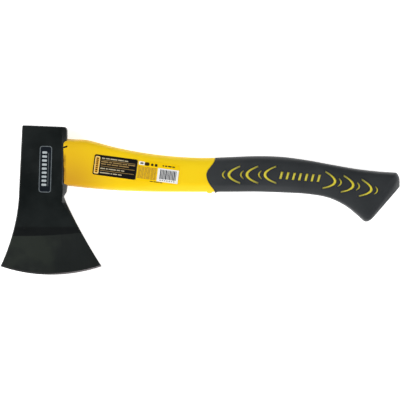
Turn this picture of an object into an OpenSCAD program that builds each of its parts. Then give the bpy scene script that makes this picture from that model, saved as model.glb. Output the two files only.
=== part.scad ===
// Small hand axe: forged head on a fibreglass-cored plastic handle with a rubber grip.
// It lies on its side. X runs along the handle towards the butt, Y points to the poll,
// and Z is the thickness. The origin is under the centre of the whole outline.

/* [Head] */
// Poll face to cutting edge
head_h = 143; // [125:1:180]
// Poll face to the centre of the eye
poll_rise = 35.7; // [30:0.1:42]
// Width of the head along the handle
cheek_w = 43.2; // [38:0.1:56]
// Thickness over the cheeks
head_t = 24; // [22:0.5:32]
// Thickness of the poll
poll_t = 21.5; // [18:0.5:30]
// Straight distance from toe to heel
edge_len = 97; // [80:1:125]
// Rise of the cutting edge at toe and heel
edge_rise = 8; // [4:0.5:14]
// Distance that the toe stands ahead of the eye's centre
toe_reach = 42.5; // [32:0.5:55]
// Height of the ground bevel
bevel_h = 37; // [25:1:45]
// Half thickness of the blade where the bevel starts
bevel_top = 4.4; // [3:0.1:6.5]
// Width of the honed strip at the edge
hone_h = 1.6; // [1:0.1:3]
// Chamfer on the handle side of the cheeks, along the handle
cheek_chamfer = 4.8; // [2:0.1:7]

/* [Eye] */
// Length of the eye, across the handle
eye_l = 36; // [28:0.5:40]
// Width of the eye
eye_w = 17; // [13:0.5:20]
// Resin bed between eye and handle
resin_t = 0.8; // [0.4:0.1:1.5]
// Depth of resin over the end of the handle
resin_cap = 3; // [2:0.5:6]

/* [Handle] */
// Centre of the eye to the end of the butt
handle_reach = 339.5; // [285:0.5:420]
// Depth of the handle where it meets the head
shoulder_depth = 44.8; // [38:0.1:50]
// Depth of the neck
neck_depth = 32.7; // [26:0.1:38]
// Depth of the palm swell
palm_depth = 34.3; // [28:0.1:42]
// Underside of the handle below the centre of the eye
handle_drop = 28.1; // [25:0.1:32]
// Thickness at the shoulder
shoulder_t = 23.6; // [21:0.1:31]
// Thickness of the neck
neck_t = 20.6; // [18:0.1:28]
// Greatest thickness of the grip
grip_t = 23.8; // [21:0.1:31]
// Diameter of the fibreglass core
core_d = 10; // [7:0.5:11]

/* [Grip] */
// Butt end to the middle of the sleeve's curved front edge
sleeve_len = 185; // [165:1:195]
// Wall of the rubber sleeve
sleeve_t = 2.4; // [1.6:0.1:3.2]
// Distance between crescents of one row
crescent_pitch = 17.2; // [15:0.1:19]
// Height of a large crescent
crescent_h = 17.6; // [12:0.1:18]

/* [Markings] */
// Length of the label's dark panel and white panel together
label_len = 82; // [60:1:86]
// Height of the label
label_h = 19.5; // [14:0.5:22]
// Length of the badge on the head
badge_len = 44.8; // [30:0.1:50]
// Width of the badge
badge_w = 12.2; // [8:0.1:16]

/* [Hidden] */
$fn = 64;

// Clearances
bond_gap = 0.05;      // between the rubber sleeve and the jacket
core_gap = 0.05;      // around the core, in its bore
lap_gap = 0.1;        // between the jacket's shoulder and the head
seat_gap = 0.15;      // under an inlay
inlay_trim = 0.05;    // around an inlay, in its window
inlay_sink = 0.02;    // of an inlay below the sleeve's surface
label_gap = 0.1;      // under the label
resin_gap = 0.02;     // between the resin bed and the eye

// Head, measured from the centre of the eye
rear_x = cheek_w / 2;
front_x = 0.4 - rear_x;
waist_x = front_x - 3.4;
poll_fall = 1.7;
poll_chamfer = 1.2;
edge_y = poll_rise - head_h;
toe = [-toe_reach, edge_y + edge_rise];
heel = [edge_len - toe_reach, edge_y + edge_rise];
edge_r = (pow(edge_len / 2, 2) + pow(edge_rise, 2)) / (2 * edge_rise);
waist = [waist_x, -32.5];
notch = [rear_x - 3.4, -32.5];
notch_top = [rear_x - 0.7, -28.2];
notch_foot = [rear_x - 1, -38.3];
front_curve_r = 190;
rear_curve_r = 510;
taper_y = -18;
edge_half = 0.15;
hone_slope = 0.32;
cheek_hollow_most = 130;
shoulder_run = 20;
chamfer_drop = 2.2;
badge_depth = 0.3;
badge_tilt = -1.8;
badge_centre = [0.9, -6.4];

// Handle stations: top x, top y, bottom x, bottom y, half thickness, squareness
butt_x = handle_reach;
under_y = -handle_drop;
neck_y = under_y + neck_depth;
palm_y = under_y + palm_depth;
shoulder_x = rear_x - 3.6;
shoulder_y = shoulder_depth / 2 + 0.4;
neck_start = shoulder_x + 24;
neck_end = butt_x - sleeve_len + 1;
swell_end = butt_x - 88;
shoulder_half = shoulder_t / 2;
neck_half = neck_t / 2;
grip_half = grip_t / 2;

function blend(a, b, t) = a + (b - a) * t;
function neck_x(t) = blend(neck_start, neck_end, t);
function swell_x(t) = blend(neck_end, swell_end, t);
function neck_station(t) = [
    neck_x(t), neck_y + (shoulder_y - 1.4 - neck_y) * pow(1 - t, 2),
    neck_x(t), under_y + 3.6 * pow(1 - t, 3.5),
    blend(shoulder_half - 0.2, neck_half, pow(t, 0.8)), blend(7, 3.4, pow(t, 0.7))
];

STATIONS = [
    [shoulder_x, shoulder_y, shoulder_x, shoulder_y - shoulder_depth, shoulder_half, 9],
    [shoulder_x + 11, shoulder_y - 0.5, shoulder_x + 11, shoulder_y - shoulder_depth - 1,
        shoulder_half, 8],
    neck_station(0), neck_station(0.2), neck_station(0.4), neck_station(0.6),
    neck_station(0.8), neck_station(1),
    [swell_x(0.25), blend(neck_y, palm_y, 0.55), swell_x(0.25), under_y + 0.1,
        blend(neck_half, grip_half, 0.5), 3.1],
    [swell_x(0.5), palm_y + 0.1, swell_x(0.5), under_y + 0.2,
        blend(neck_half, grip_half, 0.9), 3],
    [swell_x(0.75), palm_y - 0.7, swell_x(0.75), under_y - 0.6, grip_half, 3],
    [swell_end, palm_y - 3.9, swell_end - 1, under_y - 1.9, grip_half, 3],
    [butt_x - 65, palm_y - 8.1, butt_x - 69, under_y - 5.3, grip_half, 3],
    [butt_x - 42, palm_y - 12.1, butt_x - 53, under_y - 12.5, grip_half, 3.1],
    [butt_x - 21, palm_y - 14.6, butt_x - 42, under_y - 20.9, grip_half - 0.1, 3.3],
    [butt_x - 6, palm_y - 15.5, butt_x - 35.5, under_y - 26.8, grip_half - 0.3, 3.6]
];
LAST = len(STATIONS) - 1;

// The butt's rounded end: each ring steps out along the handle and in at its rim
BUTT_RINGS = [
    [butt_x - 2.8, palm_y - 16.1, butt_x - 33.4, under_y - 28.2, grip_half - 1.1, 3.8],
    [butt_x - 0.2, palm_y - 21.2, butt_x - 30.2, under_y - 28.2, grip_half - 2.6, 4],
    [butt_x, palm_y - 29, butt_x - 27.4, under_y - 26.4, grip_half - 4.6, 4]
];

// Nub under the jacket, just ahead of the sleeve
nub_x = neck_end + 2.2;
nub_r = 2.4;
nub_w = 5;
nub_drop = 1.2;

// Crescents and marks, from the centre of the eye
crescent_step = 14;
small_crescent_half = 4.3;
fore_x = neck_end + 31.4;
fore_y = under_y + 16.4;
aft_x = butt_x - 72.8;
aft_y = under_y + 11.5;
aft_slope = -12.2;
aft_tilt = -10;
aft_stretch = 1.03;
mark_count = 7;
mark_margin = 4.7;
mark_len = aft_x - fore_x - 2 * crescent_pitch - 2 * mark_margin;
mark_w = 2.4;
mark_h = 7;
mark_lean = 0.7;
mark_slope = -4.5;
mark_x = (fore_x + 2 * crescent_pitch + aft_x) / 2;
mark_y = under_y + 14.4;

// Label on the jacket's flat side
label_t = 0.25;
label_start = 28.5;
label_x = shoulder_x + label_start + label_len / 2;
label_y = under_y + 21.1;
label_tilt = -7.6;

SIDES = 28;
NECK_RINGS = 14;
GRIP_RINGS = 18;
INLAY_RINGS = 10;
sleeve_front_u = 6.96;
sleeve_front_bulge = 0.34;
front_shift = 0.002;
jacket_end_u = LAST - 0.9;

function knot(i) = STATIONS[max(0, min(LAST, i))];
function spline(u) = let(i = min(floor(u), LAST - 1), t = u - i,
    a = knot(i - 1), b = knot(i), c = knot(i + 1), d = knot(i + 2))
    b + 0.5 * t * ((c - a) + t * ((2 * a - 5 * b + 4 * c - d) + t * (3 * (b - c) + d - a)));
function signed_pow(v, p) = sign(v) * pow(abs(v), p);
function ring_point(s, angle, inset) = let(
    top = [s[0], s[1]], bottom = [s[2], s[3]], mid = (top + bottom) / 2,
    half = norm(top - bottom) / 2, along = (top - bottom) / (2 * half),
    p = mid + along * (half - inset) * signed_pow(cos(angle), 2 / s[5]),
    z = (s[4] - inset) * signed_pow(sin(angle), 2 / s[5])) [p[0], p[1], z];
function side_angle(k) = 360 * k / SIDES;
function ring(u, inset) = [for (k = [0 : SIDES - 1]) ring_point(spline(u), side_angle(k), inset)];
function front_u(k) = sleeve_front_u + sleeve_front_bulge * (1 - pow(sin(side_angle(k)), 2));
function lead_ring(t, inset) = [for (k = [0 : SIDES - 1])
    ring_point(spline(front_u(k) * t), side_angle(k), inset)];
function trail_ring(t, shift, u_end, inset) = [for (k = [0 : SIDES - 1])
    ring_point(spline(blend(front_u(k) + shift, u_end, t)), side_angle(k), inset)];

module skin(rings) {
    count = len(rings);
    points = [for (r = rings) each r];
    start_cap = [[for (k = [0 : SIDES - 1]) k]];
    end_cap = [[for (k = [SIDES - 1 : -1 : 0]) (count - 1) * SIDES + k]];
    walls = [for (i = [0 : count - 2], k = [0 : SIDES - 1]) let(
        a = i * SIDES + k, b = i * SIDES + (k + 1) % SIDES) each
        [[a, b + SIDES, b], [a, a + SIDES, b + SIDES]]];
    polyhedron(points = points, faces = concat(start_cap, walls, end_cap), convexity = 6);
}

// The handle's outer form between two stations, grown or shrunk by an inset
module handle_form(u_a, u_b, inset, count) {
    skin([for (i = [0 : count]) ring(blend(u_a, u_b, i / count), inset)]);
}

// The whole model is drawn about the eye's centre and then moved to the shared origin
module placed() {
    half_t = max(head_t, shoulder_t, grip_t) / 2;
    translate([(toe_reach - butt_x) / 2, head_h / 2 - poll_rise, half_t]) children();
}

function arc_centre(a, b, r) = let(m = (a + b) / 2, d = b - a, l = norm(d))
    m + [d[1], -d[0]] / l * sqrt(r * r - l * l / 4);

// Points between a and b on an arc of radius r about arc_centre
function arc_points(a, b, r, count) = let(
    centre = arc_centre(a, b, r), l = norm(b - a), out = (a + b) / 2 - centre,
    spread = asin(l / 2 / r))
    [for (i = [1 : count - 1]) let(angle = spread * (2 * i / count - 1))
        centre + r * (cos(angle) * out / norm(out) + sin(angle) * (b - a) / l)];

module head_outline() {
    polygon(concat([heel], arc_points(heel, notch_foot, rear_curve_r, 5),
        [notch_foot, notch, notch_top, [rear_x, notch_top[1] + 5],
        [rear_x, poll_rise - poll_fall - 3], [rear_x - 1, poll_rise - poll_fall],
        [front_x, poll_rise], waist], arc_points(waist, toe, front_curve_r, 10),
        [toe, [toe[0], edge_y - 1], [heel[0], edge_y - 1]]));
}

// Thickness of the head from poll to edge, drawn in Y and Z and run along the handle
module head_thickness() {
    blade_y = edge_y + bevel_h;
    low_y = edge_y - 1;
    low_half = bevel_top * 0.7;
    half = [[poll_rise + 1, poll_t / 2 - poll_chamfer - 1], [poll_rise - poll_chamfer, poll_t / 2],
        [poll_rise - 14, head_t / 2], [taper_y, head_t / 2], [blade_y, bevel_top],
        [low_y, low_half]];
    mirrored = [for (i = [len(half) - 1 : -1 : 0]) [half[i][0], -half[i][1]]];
    cheek_end = [taper_y, head_t / 2];
    blade_end = [blade_y, bevel_top];
    cheek_slope = atan((cheek_end[1] - blade_end[1]) / (taper_y - blade_y));
    blade_slope = atan((bevel_top - low_half) / (blade_y - low_y));
    hollow_r = min(cheek_hollow_most,
        norm(cheek_end - blade_end) / 2 / sin(cheek_slope - blade_slope));
    hollow = arc_centre(cheek_end, blade_end, hollow_r);
    rotate([90, 0, 90]) translate([0, 0, -2 * head_h]) linear_extrude(4 * head_h) difference() {
        polygon(concat(half, mirrored));
        for (side = [-1, 1]) translate([hollow[0], -side * hollow[1]])
            circle(hollow_r, $fn = 200);
    }
}

// Ground and honed faces: cones about the centre of the edge's curve, below a steep shoulder
module edge_grind() {
    hone_half = edge_half + hone_h * hone_slope;
    half = [[edge_r, edge_half], [edge_r - hone_h, hone_half], [edge_r - bevel_h, bevel_top],
        [edge_r - bevel_h - shoulder_run, head_t], [0, head_t]];
    mirrored = [for (i = [len(half) - 1 : -1 : 0]) [half[i][0], -half[i][1]]];
    translate([(toe[0] + heel[0]) / 2, edge_y + edge_r, 0]) rotate_extrude($fn = 200)
        polygon(concat(half, mirrored));
}

module oval(l, w) {
    square([w, l - w], center = true);
    for (side = [-1, 1]) translate([0, side * (l - w) / 2]) circle(d = w);
}

// A bar of oval section running along the handle
module oval_bar(x_a, x_b, l, w) {
    translate([x_a, 0, 0]) rotate([0, 90, 0]) linear_extrude(x_b - x_a) oval(l, w);
}

module badge_outline(margin) {
    corner = 3;
    w = badge_w + 2 * margin;
    l = badge_len + 2 * margin;
    translate(badge_centre) rotate(badge_tilt) {
        square([w - 2 * corner, l], center = true);
        square([w, l - 2 * corner], center = true);
        for (x = [-1, 1], y = [-1, 1])
            translate([x * (w / 2 - corner), y * (l / 2 - corner)]) circle(corner);
    }
}

// The badge's bed in the upper cheek: its floor follows the cheek's flat and hollow
module badge_space(margin) {
    difference() {
        linear_extrude(head_t) badge_outline(margin);
        translate([0, 0, -badge_depth]) head_thickness();
    }
}

module axe_head() {
    color([0.11, 0.12, 0.125]) placed() difference() {
        intersection() {
            translate([0, 0, -head_t]) linear_extrude(2 * head_t) head_outline();
            head_thickness();
            edge_grind();
        }
        oval_bar(-head_h, head_h, eye_l, eye_w);
        for (side = [-1, 1]) rotate([90, 0, 0]) translate([0, 0, -2 * poll_rise])
            linear_extrude(2 * poll_rise - notch[1])
                polygon([[rear_x - cheek_chamfer, side * head_t / 2],
                    [rear_x + 1, side * (head_t / 2 - chamfer_drop * (1 + 1 / cheek_chamfer))],
                    [rear_x + 1, side * head_t]]);
        badge_space(bond_gap);
    }
}

module head_badge() {
    color([0.45, 0.48, 0.5]) placed() intersection() {
        badge_space(0);
        head_thickness();
    }
}

tang_l = eye_l - 2 * resin_t;
tang_w = eye_w - 2 * resin_t;
resin_front = front_x + 1;
tang_front = resin_front + resin_cap;

module eye_resin() {
    color([0.75, 0.68, 0.45]) placed() difference() {
        oval_bar(resin_front, rear_x, eye_l - 2 * resin_gap, eye_w - 2 * resin_gap);
        oval_bar(tang_front, rear_x + 1, tang_l, tang_w);
    }
}

core_front = [tang_front + 2, 0];
core_back = [butt_x - 48, (palm_y + under_y) / 2 - 12.45];

module core(extra) {
    span = core_back - core_front;
    translate([core_front[0], core_front[1], 0]) rotate([0, 0, atan2(span[1], span[0])])
        rotate([0, 90, 0]) cylinder(h = norm(span), d = core_d + 2 * extra);
}

module core_rod() {
    color([0.85, 0.8, 0.62]) placed() core(0);
}

// What the jacket's shoulder has to clear: the head's rear end with its side chamfers
module head_rear_end() {
    half_t = head_t / 2 + lap_gap;
    rotate([90, 0, 0]) translate([0, 0, -poll_rise]) linear_extrude(2 * poll_rise)
        polygon([[-rear_x, -half_t], [rear_x - cheek_chamfer, -half_t],
            [rear_x + lap_gap, chamfer_drop - half_t], [rear_x + lap_gap, half_t - chamfer_drop],
            [rear_x - cheek_chamfer, half_t], [-rear_x, half_t]]);
}

module handle_jacket() {
    neck_rings = [for (i = [0 : NECK_RINGS]) lead_ring(i / NECK_RINGS, 0)];
    grip_rings = [for (i = [0 : GRIP_RINGS])
        trail_ring(i / GRIP_RINGS, 0, jacket_end_u, sleeve_t)];
    color([0.98, 0.8, 0.05]) placed() difference() {
        union() {
            difference() {
                skin(concat(neck_rings, grip_rings));
                head_rear_end();
            }
            oval_bar(tang_front, rear_x + 6, tang_l, tang_w);
            translate([nub_x, under_y + nub_r - nub_drop, -nub_w / 2])
                cylinder(h = nub_w, r = nub_r);
        }
        core(core_gap);
    }
}

module grip_sleeve() {
    inner_rings = [for (i = [GRIP_RINGS : -1 : 0])
        trail_ring(i / GRIP_RINGS, front_shift, jacket_end_u + front_shift, sleeve_t - bond_gap)];
    outer_rings = [for (i = [0 : GRIP_RINGS]) trail_ring(i / GRIP_RINGS, front_shift, LAST, 0)];
    butt_rings = [for (s = BUTT_RINGS)
        [for (k = [0 : SIDES - 1]) ring_point(s, side_angle(k), 0)]];
    color([0.15, 0.17, 0.17]) placed() difference() {
        skin(concat(inner_rings, outer_rings, butt_rings));
        linear_extrude(2 * head_t, center = true) {
            fore_row() large_crescent(0);
            fore_row() small_crescent(0);
            aft_row() large_crescent(0);
            aft_row() small_crescent(0);
            mark_row(0);
        }
    }
}

// A crescent with its chord on Y and its belly towards +X, thinned by trim all round
module crescent(depth, half, thick, tip, trim) {
    steps = 8;
    outer = [for (i = [0 : steps]) let(t = 2 * i / steps - 1)
        [(depth - trim) * (1 - t * t), (half - trim) * t]];
    inner = [for (i = [0 : steps]) let(t = 1 - 2 * i / steps)
        [(depth - thick + trim) * (1 - t * t), (half - tip + trim) * t]];
    polygon(concat(outer, inner));
}

module large_crescent(trim) {
    crescent(12.2, crescent_h / 2, 3.5, 1.3, trim);
}

module small_crescent(trim) {
    translate([crescent_step, 0]) crescent(3.4, small_crescent_half, 1.7, 0.8, trim);
}

// Three crescents open towards the butt, ahead of the marks
module fore_row() {
    for (i = [0 : 2]) translate([fore_x + i * crescent_pitch, fore_y]) rotate(180) children();
}

// Three crescents open towards the head, running down to the butt
module aft_row() {
    translate([aft_x, aft_y]) for (i = [0 : 2])
        rotate(aft_slope) translate([i * crescent_pitch * aft_stretch, 0])
            rotate(aft_tilt - aft_slope) children();
}

// A plain row of slanted bars
module mark_row(trim) {
    pitch = mark_len / (mark_count - 1);
    translate([mark_x, mark_y]) rotate(mark_slope) for (i = [0 : mark_count - 1])
        translate([(i - (mark_count - 1) / 2) * pitch, 0]) polygon([
            [-mark_w / 2 - mark_lean + trim, -mark_h / 2 + trim],
            [mark_w / 2 - mark_lean - trim, -mark_h / 2 + trim],
            [mark_w / 2 + mark_lean - trim, mark_h / 2 - trim],
            [-mark_w / 2 + mark_lean + trim, mark_h / 2 - trim]]);
}

// Inlays fill their windows from the jacket up to the sleeve's surface, on one side
module inlay(side, u_a, u_b) {
    color([0.86, 0.78, 0.2]) placed() intersection() {
        translate([0, 0, side < 0 ? -head_t : 0]) linear_extrude(head_t) children();
        difference() {
            handle_form(u_a, u_b, inlay_sink, INLAY_RINGS);
            handle_form(u_a - 0.1, u_b + 0.1, sleeve_t - seat_gap, INLAY_RINGS);
        }
    }
}

module large_crescents_fore_top() inlay(1, 6.8, 10.2) fore_row() large_crescent(inlay_trim);
module small_crescents_fore_top() inlay(1, 6.8, 10.2) fore_row() small_crescent(inlay_trim);
module large_crescents_aft_top() inlay(1, 10.2, 14.6) aft_row() large_crescent(inlay_trim);
module small_crescents_aft_top() inlay(1, 10.2, 14.6) aft_row() small_crescent(inlay_trim);
module mark_bars_top() inlay(1, 8.8, 12.2) mark_row(inlay_trim);
module large_crescents_fore_under() inlay(-1, 6.8, 10.2) fore_row() large_crescent(inlay_trim);
module small_crescents_fore_under() inlay(-1, 6.8, 10.2) fore_row() small_crescent(inlay_trim);
module large_crescents_aft_under() inlay(-1, 10.2, 14.6) aft_row() large_crescent(inlay_trim);
module small_crescents_aft_under() inlay(-1, 10.2, 14.6) aft_row() small_crescent(inlay_trim);
module mark_bars_under() inlay(-1, 8.8, 12.2) mark_row(inlay_trim);

module handle_label() {
    color([0.2, 0.19, 0.1]) placed() intersection() {
        linear_extrude(head_t) translate([label_x, label_y]) rotate(label_tilt)
            square([label_len, label_h], center = true);
        difference() {
            handle_form(1, 6.6, -label_gap - label_t, INLAY_RINGS);
            handle_form(0.9, 6.7, -label_gap, INLAY_RINGS);
        }
    }
}

axe_head();
head_badge();
eye_resin();
core_rod();
handle_jacket();
handle_label();
grip_sleeve();
large_crescents_fore_top();
small_crescents_fore_top();
large_crescents_aft_top();
small_crescents_aft_top();
mark_bars_top();
large_crescents_fore_under();
small_crescents_fore_under();
large_crescents_aft_under();
small_crescents_aft_under();
mark_bars_under();
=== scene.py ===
"""A small hand axe lying on its side: the looks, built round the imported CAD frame.

Shapes are worked out in millimetres about the centre of the axe's eye: X runs along the handle
towards the butt, Y points to the poll and Z is the thickness. place() turns them into the frame's
metres.
"""

import math

import bmesh
import bpy
import numpy as np
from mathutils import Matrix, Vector


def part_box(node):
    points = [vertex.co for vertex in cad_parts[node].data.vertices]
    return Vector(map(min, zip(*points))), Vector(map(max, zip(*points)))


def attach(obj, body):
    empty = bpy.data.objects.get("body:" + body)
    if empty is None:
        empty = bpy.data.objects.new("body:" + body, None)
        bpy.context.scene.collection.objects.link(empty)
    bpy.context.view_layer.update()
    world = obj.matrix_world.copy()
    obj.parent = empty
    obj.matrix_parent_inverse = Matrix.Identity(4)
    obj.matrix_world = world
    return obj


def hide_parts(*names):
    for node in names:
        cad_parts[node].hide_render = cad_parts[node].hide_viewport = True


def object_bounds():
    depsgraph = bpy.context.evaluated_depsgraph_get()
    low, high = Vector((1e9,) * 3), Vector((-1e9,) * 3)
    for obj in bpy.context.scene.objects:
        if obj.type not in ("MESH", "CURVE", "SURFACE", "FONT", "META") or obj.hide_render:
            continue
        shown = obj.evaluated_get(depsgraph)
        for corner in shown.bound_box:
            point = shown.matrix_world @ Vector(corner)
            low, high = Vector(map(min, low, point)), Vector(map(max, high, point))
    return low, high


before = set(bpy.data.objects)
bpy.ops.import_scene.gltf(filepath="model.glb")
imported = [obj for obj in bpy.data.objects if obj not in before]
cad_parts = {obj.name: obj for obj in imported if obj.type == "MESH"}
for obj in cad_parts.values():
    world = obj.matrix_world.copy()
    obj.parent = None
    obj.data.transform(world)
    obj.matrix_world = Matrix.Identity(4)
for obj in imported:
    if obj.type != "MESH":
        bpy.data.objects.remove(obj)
CAD_LOW, CAD_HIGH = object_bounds()

MM = 0.001

# ==== Driving sizes, in millimetres ====

HEAD_H = 143.0
POLL_RISE = 35.7
POLL_FALL = 1.7
CHEEK_W = 43.2
HEAD_T = 24.0
POLL_T = 21.5
POLL_EASE_H = 14.0
EDGE_LEN = 97.0
EDGE_RISE = 8.0
TOE_REACH = 42.5
BEVEL_TOP = 4.4
BEVEL_H = 37.5
BEVEL_TILT = 0.042
BEVEL_BOW = 0.00105
CHEEK_SAG = 2.7
CHEEK_EASE = 1.2
HONE_H = 1.6
HONE_HALF = 0.66
HONE_FADE = (0.0, 26.0)
BAND_TOP_Y = -61.6
EDGE_HALF = 0.15
TAPER_Y = -18.0
CHAMFER_W = 4.8
CHAMFER_DROP = 2.2
CHAMFER_END_Y = -65.0
RIM_R = 0.9
POLL_RIM_R = 1.2
CORNER_R = 1.5
WALL_WEAR = 0.2
EYE_L = 36.0
EYE_W = 17.0

HANDLE_REACH = 339.5
SHOULDER_DEPTH = 44.8
NECK_DEPTH = 32.7
PALM_DEPTH = 34.3
HANDLE_DROP = 28.1
SHOULDER_T = 23.6
SHOULDER_LEN = 11.0
NECK_T = 20.6
GRIP_T = 23.8
SLEEVE_LEN = 185.0
SLEEVE_WALL = 2.4
FACET_W = 7.0
TOP_FACET = 0.7
TOP_SHARP = 0.6
SIDE_CROWN = 0.025
EDGE_CROWN = 0.06
LAP_GAP = 0.1
LAP_SHORT = (1.4, 2.4)
TANG_GAP = 1.6
TANG_START = 4.0
CORE_START = 6.0
CORE_END = 48.0
CORE_END_DROP = 12.45
BOND_GAP = 0.05
JACKET_END = 14.1

CRESCENT_PITCH = 17.2
CRESCENT_HALF = 8.8
CRESCENT_STEP = 14.0
SMALL_HALF = 4.3
WINDOW_GAP = 0.28

LABEL_LEN = 82.0
LABEL_H = 19.5
PANEL_LEN = 41.6
BADGE_LEN = 44.8
BADGE_W = 12.2
BADGE_DEPTH = 0.3
BADGE_CORNER_R = 3.0

# ==== Places that follow from the sizes and the frame ====

REAR_X = CHEEK_W / 2
FRONT_X = 0.4 - REAR_X
POLL_Y = POLL_RISE
EDGE_Y = POLL_RISE - HEAD_H
EDGE_R = ((EDGE_LEN / 2) ** 2 + EDGE_RISE ** 2) / (2 * EDGE_RISE)
EDGE_MID_X = EDGE_LEN / 2 - TOE_REACH
TOE = np.array([-TOE_REACH, EDGE_Y + EDGE_RISE])
HEEL = np.array([EDGE_LEN - TOE_REACH, EDGE_Y + EDGE_RISE])
WAIST = np.array([FRONT_X - 3.4, -32.5])
NOTCH_FOOT = np.array([REAR_X - 1, -38.3])
FRONT_CURVE_R = 190.0
REAR_CURVE_R = 510.0
CHAMFER_X = REAR_X - CHAMFER_W

UNDER_Y = -HANDLE_DROP
NECK_Y = UNDER_Y + NECK_DEPTH
PALM_Y = UNDER_Y + PALM_DEPTH
SHOULDER_X = REAR_X - 3.6
SHOULDER_Y = SHOULDER_DEPTH / 2 + 0.4
NECK_START = SHOULDER_X + 24
NECK_END = HANDLE_REACH - SLEEVE_LEN + 1
SWELL_END = HANDLE_REACH - 88
SHOULDER_HALF = SHOULDER_T / 2
NECK_HALF = NECK_T / 2
GRIP_HALF = GRIP_T / 2

FORE_X = NECK_END + 31.4
FORE_Y = UNDER_Y + 16.4
AFT_X = HANDLE_REACH - 72.8
AFT_Y = UNDER_Y + 11.5
LABEL_CENTRE = np.array([SHOULDER_X + 28.5 + LABEL_LEN / 2, UNDER_Y + 21.1])
LABEL_TILT = math.radians(-7.6)
BADGE_CENTRE = np.array([0.9, -6.4])
BADGE_TILT = math.radians(-1.8)

RESIN_LOW, RESIN_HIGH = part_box("eye_resin")
EYE_CENTRE = np.array([
    RESIN_HIGH.x / MM - REAR_X,
    (RESIN_LOW.y + RESIN_HIGH.y) / 2 / MM,
    (RESIN_LOW.z + RESIN_HIGH.z) / 2 / MM,
])


def blend(a, b, t):
    return a + (b - a) * t


def smooth_step(a, b, x):
    t = np.clip((x - a) / (b - a), 0, 1)
    return t * t * (3 - 2 * t)


def turn(points, angle):
    """Points of a plane, turned about the origin."""
    c, s = math.cos(angle), math.sin(angle)
    x, y = points[..., 0], points[..., 1]
    return np.stack([x * c - y * s, x * s + y * c], -1)


# ==== Meshes ====

def place(points):
    """Millimetres about the eye's centre, as metres in the frame."""
    return (np.asarray(points, float).reshape(-1, 3) + EYE_CENTRE) * MM


def grid_solid(top, bottom):
    """A closed solid between two grids of points: the grids, and a wall round their border."""
    rows, cols = top.shape[:2]
    count = rows * cols
    index = np.arange(count).reshape(rows, cols)
    faces = []
    for i in range(rows - 1):
        for j in range(cols - 1):
            a, b, c, d = index[i, j], index[i, j + 1], index[i + 1, j + 1], index[i + 1, j]
            faces.append((a, b, c, d))
            faces.append((d + count, c + count, b + count, a + count))
    border = [*index[0, :-1], *index[:-1, -1], *index[-1, :0:-1], *index[:0:-1, 0]]
    for a, b in zip(border, border[1:] + border[:1]):
        faces.append((b, a, a + count, b + count))
    return np.concatenate([top.reshape(-1, 3), bottom.reshape(-1, 3)]), faces


def loft_solid(rings):
    """A closed solid through rings of points, with a fan at each end."""
    rings = np.asarray(rings, float)
    count, sides = rings.shape[:2]
    points = np.concatenate([rings.reshape(-1, 3), [rings[0].mean(0)], [rings[-1].mean(0)]])
    start, end = count * sides, count * sides + 1
    faces = []
    for i in range(count - 1):
        for k in range(sides):
            a, b = i * sides + k, i * sides + (k + 1) % sides
            faces.append((a, a + sides, b + sides, b))
    for k in range(sides):
        n = (k + 1) % sides
        faces.append((start, k, n))
        faces.append((end, (count - 1) * sides + n, (count - 1) * sides + k))
    return points, faces


def layer_solid(flat, top, bottom):
    """A solid over a grid of points of the plane, between two heights."""
    heights = [np.broadcast_to(z, flat.shape[:2])[..., None] for z in (top, bottom)]
    return grid_solid(*[np.concatenate([flat, z], -1) for z in heights])


def joined(solids):
    """Several solids as one list of points and one of faces."""
    points, faces, first = [], [], 0
    for p, f in solids:
        points.append(p)
        faces += [tuple(i + first for i in face) for face in f]
        first += len(p)
    return np.concatenate(points), faces


def link(thing):
    """Puts an object into the scene."""
    bpy.context.scene.collection.objects.link(thing)
    return thing


def new_object(name, solid):
    points, faces = solid
    mesh = bpy.data.meshes.new(name)
    mesh.from_pydata(place(points).tolist(), [], [tuple(int(i) for i in f) for f in faces])
    shape = bmesh.new()
    shape.from_mesh(mesh)
    bmesh.ops.recalc_face_normals(shape, faces=shape.faces)
    shape.to_mesh(mesh)
    shape.free()
    return link(bpy.data.objects.new(name, mesh))


def add_mask(piece, name, values):
    """A number for each point of the mesh, which its material reads."""
    mask = piece.data.attributes.new(name, "FLOAT", "POINT")
    mask.data.foreach_set("value", np.asarray(values, np.float32).ravel())


def cut(piece, cutter_solid):
    """Takes a solid out of a piece."""
    cutter = new_object("cutter", cutter_solid)
    modifier = piece.modifiers.new("cut", "BOOLEAN")
    modifier.operation = "DIFFERENCE"
    modifier.solver = "EXACT"
    modifier.object = cutter
    graph = bpy.context.evaluated_depsgraph_get()
    result = bpy.data.meshes.new_from_object(piece.evaluated_get(graph))
    piece.modifiers.clear()
    piece.data = result
    bpy.data.objects.remove(cutter)


def finish_piece(piece, material, nodes=(), sharp=38):
    """Shades a piece smooth up to an angle, gives it its material and joins it to the frame."""
    shape = bmesh.new()
    shape.from_mesh(piece.data)
    for face in shape.faces:
        face.smooth = True
        face.material_index = 0
    for edge in shape.edges:
        edge.smooth = edge.is_manifold and edge.calc_face_angle(0) < math.radians(sharp)
    shape.to_mesh(piece.data)
    shape.free()
    piece.data.materials.clear()
    piece.data.materials.append(material)
    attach(piece, "root")
    if nodes:
        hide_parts(*nodes)
    return piece


# ==== Materials ====

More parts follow.
